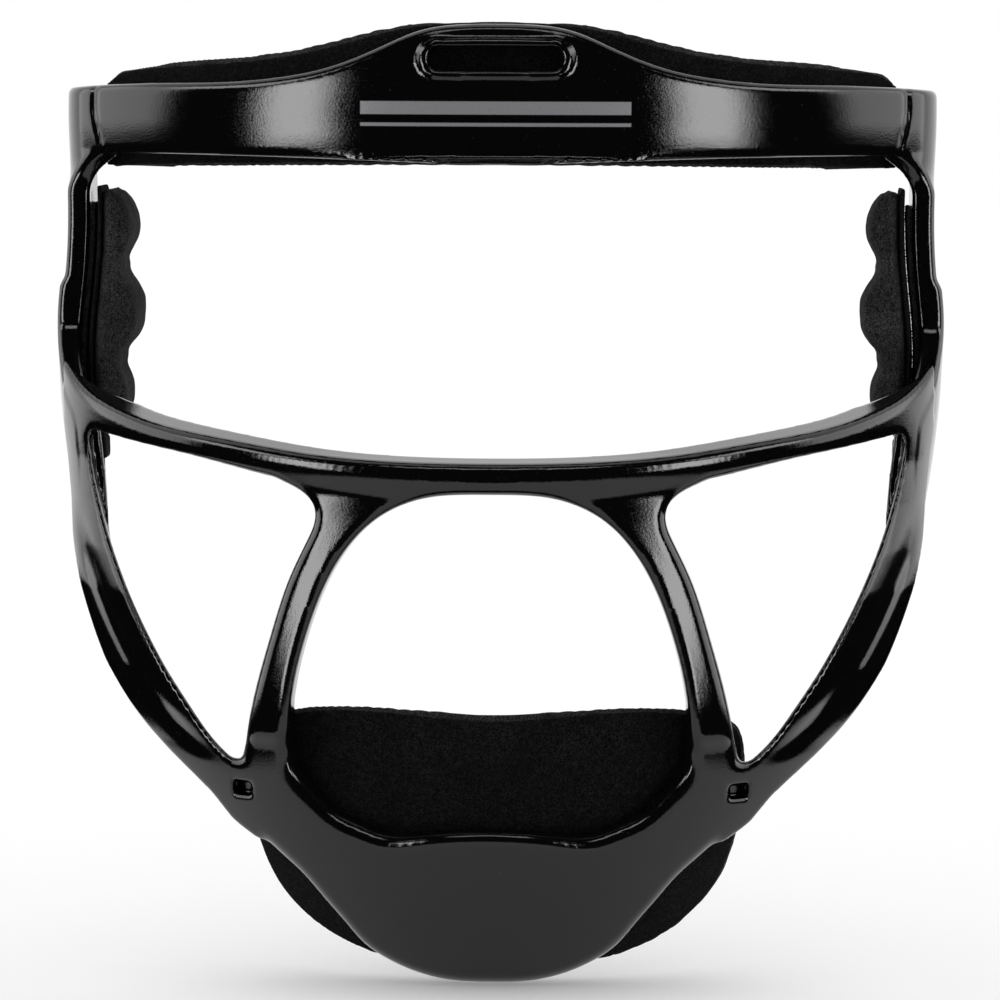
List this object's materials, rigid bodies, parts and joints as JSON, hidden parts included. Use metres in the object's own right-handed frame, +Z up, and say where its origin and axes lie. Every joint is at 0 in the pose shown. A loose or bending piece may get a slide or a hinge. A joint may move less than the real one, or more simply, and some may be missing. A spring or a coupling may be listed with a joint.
{
  "type": "fielder face mask",
  "caption": "Moulded open softball face mask: brow band with a strap slot, side wings, eye bar and chin guard, lined with removable cloth-faced foam pads.",
  "frame": {"origin": "middle of the brow pad's inner face, where the mask bears on the forehead", "axes": "+Z up towards the brow band's strap slot, +Y from the mask's front back towards the wearer, +X to the right seen from the front"},
  "size_m": [0.1834, 0.1139, 0.1915],
  "materials": {
    "shell": "glossy black moulded polycarbonate",
    "hook_tape": "black hook tape",
    "knit_cloth": "brushed black knit",
    "foam": "closed-cell foam",
    "loop_cloth": "black loop cloth",
    "tab_cloth": "black doubled cloth"
  },
  "bodies": {
    "mask": {"frame": "shell", "brow_hook_tape": "hook_tape", "right_hook_tape": "hook_tape", "left_hook_tape": "hook_tape", "chin_hook_tape": "hook_tape"},
    "brow_pad": {"brow_pad_facing": "knit_cloth", "brow_pad_foam": "foam", "brow_pad_backing": "loop_cloth"},
    "right_pad": {"right_pad_facing": "knit_cloth", "right_pad_foam": "foam", "right_pad_backing": "loop_cloth", "right_pad_tab": "tab_cloth"},
    "left_pad": {"left_pad_facing": "knit_cloth", "left_pad_foam": "foam", "left_pad_backing": "loop_cloth", "left_pad_tab": "tab_cloth"},
    "chin_pad": {"chin_pad_facing": "knit_cloth", "chin_pad_foam": "foam", "chin_pad_backing": "loop_cloth"}
  },
  "joints": [
    {"name": "brow_pad_peel", "type": "slide", "parent": "mask", "child": "brow_pad", "axis": [0, 1, 0], "range_m": [0, 0.1]},
    {"name": "right_pad_peel", "type": "slide", "parent": "mask", "child": "right_pad", "axis": [-0.5, 0.866, 0], "range_m": [0, 0.1]},
    {"name": "left_pad_peel", "type": "slide", "parent": "mask", "child": "left_pad", "axis": [0.5, 0.866, 0], "range_m": [0, 0.1]},
    {"name": "chin_pad_peel", "type": "slide", "parent": "mask", "child": "chin_pad", "axis": [0, 0.9397, 0.342], "range_m": [0, 0.1]}
  ]
}
